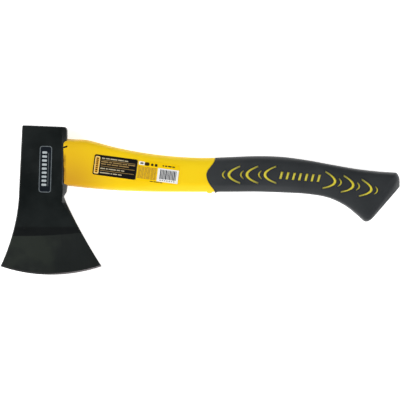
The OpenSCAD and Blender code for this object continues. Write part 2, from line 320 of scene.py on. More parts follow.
class Nodes:
    """A node tree, with short calls for the nodes that materials and world share."""

    def __init__(self, tree):
        self.tree = tree

    def put(self, value, socket):
        """Links a socket, or sets a plain value."""
        if isinstance(value, bpy.types.NodeSocket):
            self.tree.links.new(value, socket)
        else:
            socket.default_value = value

    def wire(self, node, **values):
        """Links or sets inputs of a node by name, with _ for a space."""
        for key, value in values.items():
            self.put(value, node.inputs[key.replace("_", " ")])
        return node

    def new(self, kind, **values):
        return self.wire(self.tree.nodes.new("ShaderNode" + kind), **values)

    def span(self, value, low=0.3, high=0.7, to_low=0.0, to_high=1.0, ease="LINEAR"):
        """A value between low and high, brought to a new range: 0.3 to 0.7 spans most noise."""
        node = self.new("MapRange", Value=value, From_Min=low, From_Max=high,
                        To_Min=to_low, To_Max=to_high)
        node.interpolation_type = ease
        return node.outputs["Result"]

    def maths(self, kind, a, b):
        node = self.new("Math")
        node.operation = kind
        self.put(a, node.inputs[0])
        self.put(b, node.inputs[1])
        return node.outputs["Value"]

    def times(self, a, b):
        return self.maths("MULTIPLY", a, b)


class Paint(Nodes):
    """A material, with short calls for the nodes that it needs."""

    def __init__(self, name, **values):
        self.material = bpy.data.materials.new(name)
        self.material.use_nodes = True
        super().__init__(self.material.node_tree)
        self.shader = self.tree.nodes["Principled BSDF"]
        self.place = self.new("TexCoord").outputs["Object"]
        self.wire(self.shader, **values)

    def stretched(self, x, y, z, angle=0.0):
        """Object coordinates with a scale for each axis, turned about the thickness."""
        node = self.new("Mapping", Scale=(x, y, z), Rotation=(0, 0, angle), Vector=self.place)
        return node.outputs["Vector"]

    def noise(self, scale, detail=3.0, roughness=0.55, vector=None):
        vector = self.place if vector is None else vector
        node = self.new("TexNoise", Vector=vector, Scale=scale, Detail=detail, Roughness=roughness)
        return node.outputs["Fac"]

    def cells(self, scale):
        return self.new("TexVoronoi", Vector=self.place, Scale=scale).outputs["Distance"]

    def mask(self, name):
        """A number that add_mask gave to the mesh."""
        node = self.new("Attribute")
        node.attribute_name = name
        return node.outputs["Fac"]

    def mix(self, factor, a, b):
        """Colours a and b, mixed by a factor."""
        node = self.new("Mix")
        node.data_type = "RGBA"
        for value, key in ((factor, "Factor"), (a, "A"), (b, "B")):
            self.put(value, node.inputs[key])
        return node.outputs["Result"]

    def bump(self, height, distance, strength):
        node = self.new("Bump", Strength=strength, Distance=distance, Height=height)
        self.put(node.outputs["Normal"], self.shader.inputs["Normal"])

    def set(self, **values):
        self.wire(self.shader, **values)
        return self.material


def colour(r, g, b):
    """A colour given as it looks on a screen, 0 to 255, as the shader wants it."""
    def linear(v):
        v = v / 255
        return v / 12.92 if v <= 0.04045 else ((v + 0.055) / 1.055) ** 2.4
    return (linear(r), linear(g), linear(b), 1.0)


def lacquered_steel():
    """Black lacquer over a forging, a ground bevel and a honed edge of bare steel."""
    p = Paint("lacquered_steel", Specular_IOR_Level=0.36)
    bevel, hone, rim, shade_band = p.mask("bevel"), p.mask("hone"), p.mask("rim"), p.mask("shade_band")
    peel = p.noise(900, 3)
    patches = p.noise(38, 4, 0.6)
    stains = p.noise(26, 3, 0.5)
    scratches = p.noise(1.0, 4, 0.7, p.stretched(60, 900, 60, math.radians(24)))
    grinding = p.noise(1.0, 3, 0.65, p.stretched(1500, 45, 45))
    cheek = p.mix(p.span(patches, 0.35, 0.65), colour(8, 14, 14), colour(17, 23, 23))
    # Painted shade: a darker band across the taper just above the bevel.
    cheek = p.mix(shade_band, cheek, colour(2, 6, 7))
    ground = p.mix(p.span(grinding, 0.25, 0.75), colour(10, 15, 14), colour(18, 24, 23))
    ground = p.mix(p.span(stains, 0.5, 0.62, 0.0, 0.8), ground, colour(32, 38, 32))
    body = p.mix(bevel, cheek, ground)
    fine = p.times(p.span(scratches, 0.66, 0.74), 0.27)
    body = p.mix(fine, body, colour(84, 88, 88))
    # The rim mask holds chipped lacquer near the rims and a painted highlight along the chamfer's
    # crease; both lighten the lacquer here.
    chips_and_highlight = p.times(rim, p.span(p.noise(700, 4, 0.7), 0.54, 0.74))
    body = p.mix(p.times(chips_and_highlight, 0.36), body, colour(96, 94, 90))
    steel = p.mix(p.span(grinding, 0.25, 0.75), colour(118, 113, 114), colour(152, 147, 148))
    dull = p.span(patches, 0.3, 0.5, 0.6, 1.0)
    bare = p.times(hone, dull)
    p.bump(p.maths("ADD", peel, p.times(grinding, bevel)), 0.00006, 0.45)
    rough = p.maths("ADD", p.span(patches, 0.3, 0.7, 0.33, 0.42), p.times(bevel, 0.08))
    return p.set(
        Base_Color=p.mix(bare, body, steel),
        Metallic=p.times(bare, 0.5),
        Roughness=rough,
    )


def yellow_plastic():
    """Moulded yellow plastic with a fine grain and faint smears, and painted shade: deeper amber
    beside the head, most towards the underside.
    """
    p = Paint("yellow_plastic", Specular_IOR_Level=0.38)
    head_shade = p.mask("head_shade")
    smears = p.noise(22, 4, 0.6, p.stretched(0.6, 1.6, 1.6))
    body = p.mix(p.span(smears), colour(255, 210, 0), colour(254, 217, 2))
    # Painted shade: deeper amber beside the head and towards the underside.
    body = p.mix(head_shade, body, colour(212, 156, 20))
    # Darker brown along the jacket's edge where it meets the head.
    brown_edge = p.times(p.mask("seam"), p.span(p.noise(160, 4, 0.7), 0.35, 0.7))
    body = p.mix(brown_edge, body, colour(120, 74, 18))
    p.bump(p.noise(1300, 3), 0.00005, 0.35)
    return p.set(Base_Color=body, Roughness=p.span(smears, 0.3, 0.7, 0.42, 0.54))


def black_rubber():
    """Matt rubber with a stippled skin, a little greyer where it is handled."""
    p = Paint("black_rubber")
    cloud = p.noise(30, 5, 0.6)
    stipple = p.cells(1500)
    body = p.mix(p.span(cloud), colour(30, 34, 37), colour(39, 43, 46))
    scuffs = p.noise(1.0, 4, 0.7, p.stretched(120, 900, 200, math.radians(-12)))
    body = p.mix(p.span(scuffs, 0.66, 0.78, 0.0, 0.35), body, colour(88, 88, 90))
    p.bump(stipple, 0.0001, 0.5)
    return p.set(Base_Color=body, Roughness=p.span(cloud, 0.3, 0.7, 0.5, 0.62))


def inlay_plastic():
    """The yellow of the crescents, thinning to grey where the rubber has crept over the tips."""
    p = Paint("inlay_plastic")
    cloud = p.noise(140, 4, 0.6)
    body = p.mix(p.span(cloud), colour(224, 208, 46), colour(238, 222, 72))
    tip = p.times(p.mask("tip"), p.span(cloud, 0.2, 0.6, 0.6, 1.0))
    body = p.mix(tip, body, colour(176, 170, 80))
    p.bump(p.noise(1400, 3), 0.00005, 0.4)
    return p.set(Base_Color=body, Roughness=p.span(cloud, 0.3, 0.7, 0.4, 0.55))


def printed(name, base, other, roughness=0.4, metallic=0.0):
    """Ink or film with a slightly uneven tone and gloss."""
    p = Paint(name, Metallic=metallic, Specular_IOR_Level=0.25)
    speckle = p.noise(700, 3, 0.6)
    p.bump(p.noise(500, 2), 0.00002, 0.3)
    gloss = p.span(speckle, 0.3, 0.7, roughness, roughness + 0.1)
    return p.set(Base_Color=p.mix(p.span(speckle), base, other), Roughness=gloss)


def cast_resin():
    """Amber potting resin with a few small bubbles."""
    p = Paint("cast_resin", Coat_Weight=0.4)
    cloud = p.noise(180, 4, 0.6)
    bubbles = p.span(p.cells(620), 0.05, 0.16, 1.0, 0.0)
    body = p.mix(p.span(cloud), colour(170, 138, 66), colour(204, 176, 96))
    p.bump(p.maths("SUBTRACT", cloud, bubbles), 0.0002, 0.5)
    return p.set(Base_Color=body, Roughness=p.span(cloud, 0.3, 0.7, 0.22, 0.4))


def glass_fibre():
    """Pultruded glass fibre: pale, with strands along the rod."""
    p = Paint("glass_fibre")
    strands = p.noise(1.0, 3, 0.6, p.stretched(40, 1800, 1800))
    body = p.mix(p.span(strands), colour(196, 184, 140), colour(226, 216, 178))
    p.bump(strands, 0.00008, 0.6)
    return p.set(Base_Color=body, Roughness=p.span(strands, 0.3, 0.7, 0.4, 0.6))


def light_table():
    """The white top of a light table, which glows a little and so softens the shadows."""
    p = Paint("light_table", Specular_IOR_Level=0.1, Roughness=0.9,
              Emission_Color=(1.0, 1.0, 1.0, 1.0), Emission_Strength=0.8)
    return p.set(Base_Color=p.mix(p.noise(3, 2), (0.80, 0.80, 0.80, 1), (0.82, 0.82, 0.82, 1)))


# ==== The head ====

def arc_centre(a, b, radius):
    middle, chord = (a + b) / 2, b - a
    length = np.hypot(*chord)
    aside = np.array([chord[1], -chord[0]]) / length
    return middle + aside * math.sqrt(radius ** 2 - length ** 2 / 4)


FRONT_ARC = arc_centre(WAIST, TOE, FRONT_CURVE_R)
REAR_ARC = arc_centre(HEEL, NOTCH_FOOT, REAR_CURVE_R)
REAR_LINE = np.array([
    [-1, POLL_RISE - POLL_FALL],
    [0, POLL_RISE - POLL_FALL - 3],
    [0, -23.2],
    [-0.7, -28.2],
    [-2.5, -31.0],
    [-3.3, -32.5],
    [-2.6, -34.2],
    [-1, -38.3],
]) + np.array([REAR_X, 0])


def poll_line(x):
    return POLL_Y - POLL_FALL * (x - FRONT_X) / (REAR_X - 1 - FRONT_X)


def bevel_line(x):
    return EDGE_Y + BEVEL_H + BEVEL_TILT * x + BEVEL_BOW * x ** 2


def edge_line(x):
    return EDGE_Y + EDGE_R - np.sqrt(EDGE_R ** 2 - (x - EDGE_MID_X) ** 2)


def corner_inset(y, x):
    """How far the outline has turned in near the poll's rounded corners."""
    below = np.clip(poll_line(x) - y, 0, CORNER_R)
    return CORNER_R - np.sqrt(CORNER_R ** 2 - (CORNER_R - below) ** 2)


def front_edge(y):
    line = blend(FRONT_X, WAIST[0], (POLL_Y - y) / (POLL_Y - WAIST[1]))
    reach = np.maximum(FRONT_CURVE_R ** 2 - (y - FRONT_ARC[1]) ** 2, 0)
    x = np.where(y > WAIST[1], line, FRONT_ARC[0] + np.sqrt(reach))
    return x + corner_inset(y, x)


def rear_edge(y):
    line = np.interp(-y, -REAR_LINE[:, 1], REAR_LINE[:, 0])
    reach = np.maximum(REAR_CURVE_R ** 2 - (y - REAR_ARC[1]) ** 2, 0)
    x = np.where(y > NOTCH_FOOT[1], line, REAR_ARC[0] - np.sqrt(reach))
    return x - corner_inset(y, x)


def chamfer_start(y):
    """Where the chamfer beside the handle begins: it fades out down the blade."""
    fade = np.clip((y - CHAMFER_END_Y) / (NOTCH_FOOT[1] - CHAMFER_END_Y), 0, 1)
    return np.where(y > NOTCH_FOOT[1], CHAMFER_X, rear_edge(y) - (REAR_X - 1 - CHAMFER_X) * fade)


def head_rows():
    """The head's rows from poll to edge, each as (zone, share of the zone)."""
    cheek_h = POLL_Y - TAPER_Y
    near_poll = [0, 0.08, 0.2, 0.4, 0.65, 0.95, 1.25, 1.6, 2.2]
    rows = [("cheek", d / cheek_h) for d in near_poll]
    rows += [("cheek", t) for t in np.linspace(0.06, 1, 44)]
    rows += [("taper", t) for t in np.linspace(0, 1, 62)[1:-1]]
    rows += [("taper", 0.997), ("bevel", 0.0), ("bevel", 0.006)]
    rows += [("bevel", t) for t in np.linspace(0.03, 0.985, 34)]
    rows += [("bevel", 0.997), ("hone", 0.0), ("hone", 0.06)]
    rows += [("hone", t) for t in (0.35, 0.7, 1.0)]
    return rows


def row_height(zone, t, x):
    """Height of a row at x: rows follow the poll, then the bevel's line, then the edge."""
    if zone == "cheek":
        return blend(poll_line(x), TAPER_Y, t)
    if zone == "taper":
        return blend(TAPER_Y, bevel_line(x), t)
    if zone == "bevel":
        return blend(bevel_line(x), edge_line(x) + HONE_H, t)
    return blend(edge_line(x) + HONE_H, edge_line(x), t)


def soft_least(a, b, ease):
    """The lesser of two heights, eased where they cross."""
    low = np.minimum(a, b)
    return low - ease * np.log(np.exp((low - a) / ease) + np.exp((low - b) / ease))


def row_half(zone, t, y):
    """Half thickness of a row before the rims are rounded, with a value for each y."""
    taper_slope = (HEAD_T / 2 - BEVEL_TOP + 4 * CHEEK_SAG) / (TAPER_Y - EDGE_Y - BEVEL_H)
    if zone == "cheek":
        rise = np.clip((POLL_Y - y) / POLL_EASE_H, 0, 1)
        cheek = blend(POLL_T / 2, HEAD_T / 2, rise * (2 - rise))
        return soft_least(cheek, HEAD_T / 2 + taper_slope * (y - TAPER_Y), CHEEK_EASE)
    if zone == "taper":
        hollow = blend(HEAD_T / 2, BEVEL_TOP, t) - 4 * CHEEK_SAG * t * (1 - t) + 0 * y
        return soft_least(HEAD_T / 2 + 0 * y, hollow, CHEEK_EASE)
    if zone == "bevel":
        return blend(BEVEL_TOP, HONE_HALF, t) + 0 * y
    return blend(HONE_HALF, EDGE_HALF, t) + 0 * y


def edge_point(zone, t, boundary):
    """x where a row meets the outline, found by stepping between row and outline."""
    x = boundary(row_height(zone, t, 0.0))
    for _ in range(12):
        x = boundary(row_height(zone, t, x))
    return float(x)


def head_grid():
    """Points of the head's upper side, and for each its share of chipped lacquer near the rims and of
    painted highlight along the chamfer's crease.
    """
    front_steps = np.array([0, 0.06, 0.16, 0.3, 0.5, 0.75, 1.05, 1.5])
    rear_shares = np.array([0.0, 0.25, 0.5, 0.68, 0.8, 0.87, 0.92, 0.96, 0.985, 1.0])
    middle = np.linspace(0, 1, 40)[1:]
    points, wear_and_highlight = [], []
    for zone, t in head_rows():
        left = edge_point(zone, t, front_edge)
        right = edge_point(zone, t, rear_edge)
        rear_y = row_height(zone, t, right)
        block = min(float(chamfer_start(rear_y)), right - 1.6)
        front_block = left + front_steps
        x = np.concatenate([
            front_block,
            blend(front_block[-1], block, middle),
            blend(block, right, rear_shares[1:]),
        ])
        y = row_height(zone, t, x)
        half = row_half(zone, t, y)
        slope = CHAMFER_DROP / CHAMFER_W
        half = half - slope * np.maximum(x - chamfer_start(y), 0) * (zone != "hone")
        beside = np.minimum(x - left, right - x)
        radius = np.minimum(RIM_R, 0.32 * half)
        side = np.clip(1 - beside / radius, 0, 1)
        above = np.clip(1 - (poll_line(x) - y) / POLL_RIM_R, 0, 1)
        away = np.sqrt(np.clip(1 - side ** 2 - above ** 2, 0, 1))
        half = half - np.maximum(radius, POLL_RIM_R * (above > 0)) * (1 - away)
        points.append(np.stack([x, y, half], -1))
        edge_wear = 1.3 - np.minimum(beside, poll_line(x) - y) / 1.2
        # Painted highlight: a light streak along the chamfer's crease, kept with the edge wear in the
        # rim mask.
        crease_highlight = (1 - np.abs(x - chamfer_start(y) - 0.4) / 0.8) * (y > NOTCH_FOOT[1])
        wear_and_highlight.append(np.clip(np.maximum(edge_wear, crease_highlight), 0, 1))
    wear_and_highlight = np.array(wear_and_highlight)
    wear_and_highlight[0] = wear_and_highlight[:, 0] = wear_and_highlight[:, -1] = WALL_WEAR
    return np.array(points), wear_and_highlight


def oval(angles, length, width):
    """Points of an oval across the handle, two half circles and a flat, as y and z."""
    c, s = np.cos(angles), np.sin(angles)
    return np.column_stack([c * width / 2 + np.sign(c) * (length - width) / 2, s * width / 2])


def ring_at(x, across):
    """Points across the handle, given as y and z, as a ring at x."""
    return np.insert(across, 0, x, axis=1)


def rounded_box(length, height, radius, base, top, across=2.0):
    """A plate with rounded corners about the origin: a grid in its plane, its base and its top."""
    radius = min(radius, height / 2 - 1e-3, length / 2 - 1e-3)
    turn_in = radius * (1 - np.cos(np.linspace(0, math.pi / 2, 5)))
    inner = np.linspace(-length / 2 + radius, length / 2 - radius,
                        max(2, int(length / across) + 1))
    x = np.concatenate([-length / 2 + turn_in[:-1], inner, (length / 2 - turn_in[:-1])[::-1]])
    beside = np.clip(length / 2 - np.abs(x), 0, radius)
    half = height / 2 - radius + np.sqrt(np.maximum(radius ** 2 - (radius - beside) ** 2, 0))
    shares = np.linspace(-1, 1, max(2, int(height / across) + 2))
    flat = np.stack([x[:, None] + 0 * shares, half[:, None] * shares], -1)
    return flat, base, top


def level(x, y):
    """The plane that everything is measured from, as a surface."""
    return np.zeros(x.shape)


def cheek_height(x, y):
    """Height of the head's upper side, away from its rims and from the chamfer."""
    share = np.clip((TAPER_Y - y) / (TAPER_Y - bevel_line(x)), 0, 1)
    return np.where(y > TAPER_Y, row_half("cheek", 0, y), row_half("taper", share, y))


def plate_solid(plate, origin, angle, surface):
    """A rounded_box as a solid over a surface, turned and moved to its place."""
    flat, base, top = plate
    spot = turn(flat, angle) + np.asarray(origin)
    z = surface(spot[..., 0], spot[..., 1])
    return layer_solid(spot, z + top, z + base)


def on_badge(plate, x=0.0, y=0.0):
    """A rounded_box over the cheek, x to the side of the badge's centre and y up from it."""
    spot = turn(np.array([x, y]), BADGE_TILT) + BADGE_CENTRE
    return plate_solid(plate, spot, BADGE_TILT, cheek_height)


def make_head(material):
    top, wear_and_highlight = head_grid()
    bottom = top * np.array([1, 1, -1])
    head = new_object("lacquered_head", grid_solid(top, bottom))
    zones = [zone for zone, _ in head_rows()]
    cols = top.shape[1]
    starts = {zone: zones.index(zone) for zone in ("bevel", "hone")}
    rows = np.arange(len(zones))
    honed = blend(0.12, 1.0, smooth_step(*HONE_FADE, top[..., 0].ravel()))
    for zone, shade in (("bevel", 1.0), ("hone", honed)):
        mask = np.repeat((rows > starts[zone]).astype(float), cols)
        add_mask(head, zone, np.tile(mask * shade, 2))
    add_mask(head, "rim", np.tile(wear_and_highlight.ravel(), 2))
    # Mask for the painted shade band in the taper just above the bevel.
    in_taper = np.repeat(np.array(zones) == "taper", cols)
    near_bevel = smooth_step(BAND_TOP_Y + 0.5, BAND_TOP_Y - 0.5, top[..., 1].ravel())
    add_mask(head, "shade_band", np.tile(in_taper * near_bevel, 2))
    mouth = [(-60, 0.5), (FRONT_X - 0.5, 0.5), (FRONT_X + 0.1, 0.2), (FRONT_X + 0.6, 0.0), (60, 0.0)]
    around = np.linspace(0, 2 * math.pi, 64, endpoint=False)
    rings = [ring_at(x, oval(around, EYE_L + 2 * flare, EYE_W + 2 * flare)) for x, flare in mouth]
    cut(head, loft_solid(rings))
    wide, tall = BADGE_W + 2 * BOND_GAP, BADGE_LEN + 2 * BOND_GAP
    cut(head, on_badge(rounded_box(wide, tall, BADGE_CORNER_R, -BADGE_DEPTH, 2, 1.0)))
    finish_piece(head, material, ["axe_head"], sharp=24)


def ring_strip(length, height, radius, wide, base, top):
    """A rounded rectangular line, as a solid."""
    corner, side = np.linspace(0, math.pi / 2, 8), np.linspace(0, 1, 32)[1:-1]
    centres = np.array([(1, 1), (-1, 1), (-1, -1), (1, -1)])
    centres = centres * np.array([length / 2 - radius, height / 2 - radius])
    outline = []
    for quarter in range(4):
        here, there = centres[quarter], centres[(quarter + 1) % 4]
        start = quarter * math.pi / 2
        outline += [(*here, start + angle) for angle in corner]
        outline += [(*blend(here, there, t), start + math.pi / 2) for t in side]
    rings = []
    for cx, cy, angle in outline:
        c, s = math.cos(angle), math.sin(angle)
        rings.append([
            (cx + (radius - d) * c, cy + (radius - d) * s, z)
            for d, z in ((0, base), (0, top), (wide, top), (wide, base))
        ])
    rings = np.array(rings)
    count = len(rings)
    faces = []
    for i in range(count):
        for k in range(4):
            a, b = i * 4 + k, i * 4 + (k + 1) % 4
            c, d = ((i + 1) % count) * 4 + (k + 1) % 4, ((i + 1) % count) * 4 + k
            faces.append((a, b, c, d))
    return rings.reshape(-1, 3), faces


def make_badge(plate_material, border_material, print_material):
    """A dark plate in the cheek with a silver border, a column of plain bars and a rule."""
    face, root, print_top = -0.08, -0.13, -0.03
    plate = on_badge(rounded_box(BADGE_W, BADGE_LEN, BADGE_CORNER_R, -BADGE_DEPTH, face, 1.0))
    finish_piece(new_object("badge_plate", plate), plate_material, ["head_badge"])
    margin, line_w = 0.25, 0.7
    border, faces = ring_strip(BADGE_W - 2 * margin, BADGE_LEN - 2 * margin, 2.6, line_w,
                               root, print_top)
    border[:, :2] = turn(border[:, :2], BADGE_TILT) + BADGE_CENTRE
    border[:, 2] += cheek_height(border[:, 0], border[:, 1])
    rule = on_badge(rounded_box(0.42, 32.0, 0.2, root, print_top, 1.0), 2.8, -0.2)
    lines = joined([(border, faces), rule])
    finish_piece(new_object("badge_border", lines), border_material)
    bar_count, bar_pitch, bar_long, bar_high = 9, 3.85, 4.6, 2.1
    bar = rounded_box(bar_long, bar_high, 0.6, root, print_top, 1.0)
    up = [(i - (bar_count - 1) / 2) * bar_pitch + 0.5 for i in range(bar_count)]
    bars = joined([on_badge(bar, -1.0, y) for y in up])
    finish_piece(new_object("badge_bars", bars), print_material)


# ==== The handle's form ====

def neck_station(t):
    """From the shoulder, t = 0, to the sleeve, t = 1: the handle thins and its facets grow."""
    x = blend(NECK_START, NECK_END, t)
    top = NECK_Y + (SHOULDER_Y - 1.4 - NECK_Y) * (1 - t) ** 2
    bottom = UNDER_Y + 3.6 * (1 - t) ** 3.5
    half = blend(SHOULDER_HALF - 0.2, NECK_HALF, t ** 0.8)
    grown = min(1.0, t / 0.6)
    return [x, top, x, bottom, half, blend(1.8, 5.4, grown), 20, blend(2.6, FACET_W, grown)]


def swell_station(t, top, bottom, half, back=0.0, drop=5.8):
    """From the sleeve's front, t = 0, to the end of the palm swell, t = 1."""
    x = blend(NECK_END, SWELL_END, t)
    return [x, top, x - back, bottom, half, drop, 24, FACET_W]


def butt_station(top_back, fall, bottom_back, sink, thinner, drop, sharp, facet_w):
    """Its top and bottom stand so far back from the reach, and so far below palm and underside."""
    return [HANDLE_REACH - top_back, PALM_Y - fall, HANDLE_REACH - bottom_back, UNDER_Y - sink,
            GRIP_HALF - thinner, drop, sharp, facet_w]


# Top x and y, bottom x and y, half thickness, facet drop, sharpness of the section's corners
# and facet width
STATIONS = np.array([
    [SHOULDER_X, SHOULDER_Y, SHOULDER_X, SHOULDER_Y - SHOULDER_DEPTH, SHOULDER_HALF, 0.9, 22, 1.0],
    [SHOULDER_X + SHOULDER_LEN, SHOULDER_Y - 0.5,
     SHOULDER_X + SHOULDER_LEN, SHOULDER_Y - SHOULDER_DEPTH - 1, SHOULDER_HALF, 1.3, 20, 1.7],
    *[neck_station(t) for t in (0, 0.2, 0.4, 0.6, 0.8, 1)],
    swell_station(0.25, blend(NECK_Y, PALM_Y, 0.55), UNDER_Y + 0.1, (NECK_HALF + GRIP_HALF) / 2),
    swell_station(0.5, PALM_Y + 0.1, UNDER_Y + 0.2, blend(NECK_HALF, GRIP_HALF, 0.9)),
    swell_station(0.75, PALM_Y - 0.7, UNDER_Y - 0.6, GRIP_HALF),
    swell_station(1, PALM_Y - 3.9, UNDER_Y - 1.9, GRIP_HALF, 1.0, 4.4),
    butt_station(65, 8.1, 69, 5.3, 0, 3.4, 20, 7.0),
    butt_station(42, 12.1, 53, 12.5, 0, 2.8, 18, 6.4),
    butt_station(21, 14.6, 42, 20.9, 0.05, 2.5, 18, 5.4),
    butt_station(6, 15.5, 35.5, 26.8, 0.1, 2.3, 18, 4.6),
    butt_station(2.8, 16.1, 33.4, 28.2, 0.2, 2.2, 17, 4.4),
    butt_station(0.2, 21.2, 30.2, 28.2, 0.6, 2.1, 16, 4.2),
    butt_station(0, 29, 27.4, 26.4, 1.7, 2.0, 15, 4.0),
])
BUTT = len(STATIONS) - 1


def spline(u):
    """Stations at u, between the given ones."""
    u = np.asarray(u, float)
    i = np.clip(np.floor(u).astype(int), 0, BUTT - 1)
    t = (u - i)[..., None]
    a, b, c, d = (STATIONS[np.clip(i + k, 0, BUTT)] for k in (-1, 0, 1, 2))
    return b + 0.5 * t * ((c - a) + t * ((2 * a - 5 * b + 4 * c - d) + t * (3 * (b - c) + d - a)))


def section_level(across, out, half_h, half_t, drop, sharp, facet_w):
    """1 on the section's outline: flat sides, a facet along each edge and eased corners."""
    upper = smooth_step(-0.3, 0.3, across)
    size = blend(1.0, TOP_FACET, upper)
    sharp = blend(1.0, TOP_SHARP, upper) * sharp
    a = 1 - facet_w * size / half_h
    b = 1 - drop * size / half_t
    along = (1 - b) / (1 - a * b)
    up = 1 - along * a
    y, z = np.abs(across), np.abs(out)
    side = z * (1 + SIDE_CROWN * y ** 2)
    edge = y * (1 + EDGE_CROWN * z ** 2)
    facet = along * y + up * z
    return (side ** sharp + edge ** sharp + facet ** sharp) ** (1 / sharp)


SIDES = 128
ANGLES = np.linspace(0, 2 * math.pi, SIDES, endpoint=False)


def handle_ring(u, inset=0.0):
    """Points of the handle's outline at stations u, one for each of ANGLES from its top."""
    s = spline(u)
    top, bottom, half_t = s[:, 0:2], s[:, 2:4], s[:, 4] - inset
    middle = (top + bottom) / 2
    half_h = np.hypot(*(top - bottom).T) / 2
    along = (top - bottom) / (2 * half_h)[:, None]
    half_h = half_h - inset
    c, sn = np.cos(ANGLES), np.sin(ANGLES)
    reach = np.ones(SIDES)
    for _ in range(6):
        reach = reach / section_level(reach * c, reach * sn, half_h, half_t, *s[:, 5:8].T)
    flat = middle + along * (half_h * reach * c)[:, None]
    return np.column_stack([flat, half_t * reach * sn])


def handle_height(x, y):
    """Height of the handle's side above its middle plane at points x, y."""
    low, high = np.zeros(x.shape), np.full(x.shape, float(BUTT))
    for _ in range(34):
        u = (low + high) / 2
        s = spline(u)
        rise_x, rise_y = s[..., 0] - s[..., 2], s[..., 1] - s[..., 3]
        ahead = (x - s[..., 2]) * rise_y - (y - s[..., 3]) * rise_x > 0
        low, high = np.where(ahead, u, low), np.where(ahead, high, u)
    s = spline(low)
    rise_x, rise_y = s[..., 0] - s[..., 2], s[..., 1] - s[..., 3]
    half_h = np.hypot(rise_x, rise_y) / 2
    mid_x, mid_y = (s[..., 0] + s[..., 2]) / 2, (s[..., 1] + s[..., 3]) / 2
    across = ((x - mid_x) * rise_x + (y - mid_y) * rise_y) / (2 * half_h ** 2)
    shape = np.moveaxis(s[..., 5:8], -1, 0)
    under, over = np.zeros(x.shape), np.full(x.shape, 1.1)
    for _ in range(30):
        z = (under + over) / 2
        inside = section_level(across, z, half_h, s[..., 4], *shape) < 1
        under, over = np.where(inside, z, under), np.where(inside, over, z)
    return under * s[..., 4]


FRONT_TOP_X = NECK_END + 7.5
FRONT_BULGE = 8.4


def outline_share(u):
    """How far up the section each of the ring's points lies, from -1 to 1."""
    ring = handle_ring(np.full(SIDES, u))
    s = spline(u)
    return 2 * (ring[:, 1] - (s[1] + s[3]) / 2) / (s[1] - s[3])


def sleeve_front():
    """Station of the sleeve's front edge at each of the ring's points: it bells towards the head."""
    share = outline_share(7.2)
    power = np.where(share > 0, 2.5, 1.2)
    x = FRONT_TOP_X - FRONT_BULGE * np.clip(1 - share ** 2, 0, 1) ** power
    return np.interp(x, [spline(k)[0] for k in (6, 7, 8)], [6, 7, 8])


def lap_limit(y, z):
    """How near the head the jacket may come: it laps over the head's chamfer, less low down."""
    outer = HEAD_T / 2 + LAP_GAP
    slope = (CHAMFER_W + LAP_GAP) / CHAMFER_DROP
    widest = CHAMFER_W - blend(LAP_SHORT[0], LAP_SHORT[1], smooth_step(20, -22, y))
    lap = np.clip((np.abs(z) - (outer - CHAMFER_DROP)) * slope, 0, widest)
    return REAR_X + LAP_GAP - lap


# ==== Jacket, sleeve and inlays ====

NUB_X = NECK_END + 2.2
BEAD_HALF_L = 1.3
BEAD_HALF_W = 8.0
BEAD_DROP = 1.2
NUB_HALF_L = 2.7
NUB_HALF_W = 4.5
NUB_DROP = 1.45


def nub(points):
    """Lets the jacket's underside swell into a small moulded nub just ahead of the sleeve."""
    near = np.clip(1 - ((points[:, 0] - NUB_X) / NUB_HALF_L) ** 2, 0, 1)
    middle = np.clip(1 - (points[:, 2] / NUB_HALF_W) ** 2, 0, 1)
    below = smooth_step(-22, -27, points[:, 1])
    points[:, 1] -= NUB_DROP * np.sqrt(near) * np.sqrt(middle) * below
    return points


def tang_rings(tang_front, outer):
    """The tang in the eye, and the jacket's face behind the head, out to its first ring."""
    tang = oval(ANGLES, EYE_L - TANG_GAP, EYE_W - TANG_GAP)
    rings = [
        ring_at(tang_front, tang * 0.92),
        ring_at(tang_front + 0.3, tang * 0.968),
        ring_at(tang_front + 1, tang),
        ring_at(REAR_X + LAP_GAP, tang),
    ]
    for t in (0.3, 0.6, 0.8, 0.9, 0.96):
        across = blend(tang, outer[:, 1:], t)
        rings.append(ring_at(lap_limit(*across.T), across))
    return rings


def core_bore():
    """The round bore in the jacket for the glass fibre rod."""
    core_low, core_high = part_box("core_rod")
    radius = (core_high.z - core_low.z) / MM / 2 + BOND_GAP
    start = np.array([FRONT_X + CORE_START - BOND_GAP, 0.0])
    end = np.array([HANDLE_REACH - CORE_END, (PALM_Y + UNDER_Y) / 2 - CORE_END_DROP])
    along = (end - start) / np.hypot(*(end - start))
    aside = np.array([-along[1], along[0]])
    rings = []
    for middle in (start, end + along * BOND_GAP):
        flat = middle + aside * radius * np.cos(ANGLES)[:, None]
        rings.append(np.column_stack([flat, radius * np.sin(ANGLES)]))
    return loft_solid(rings)


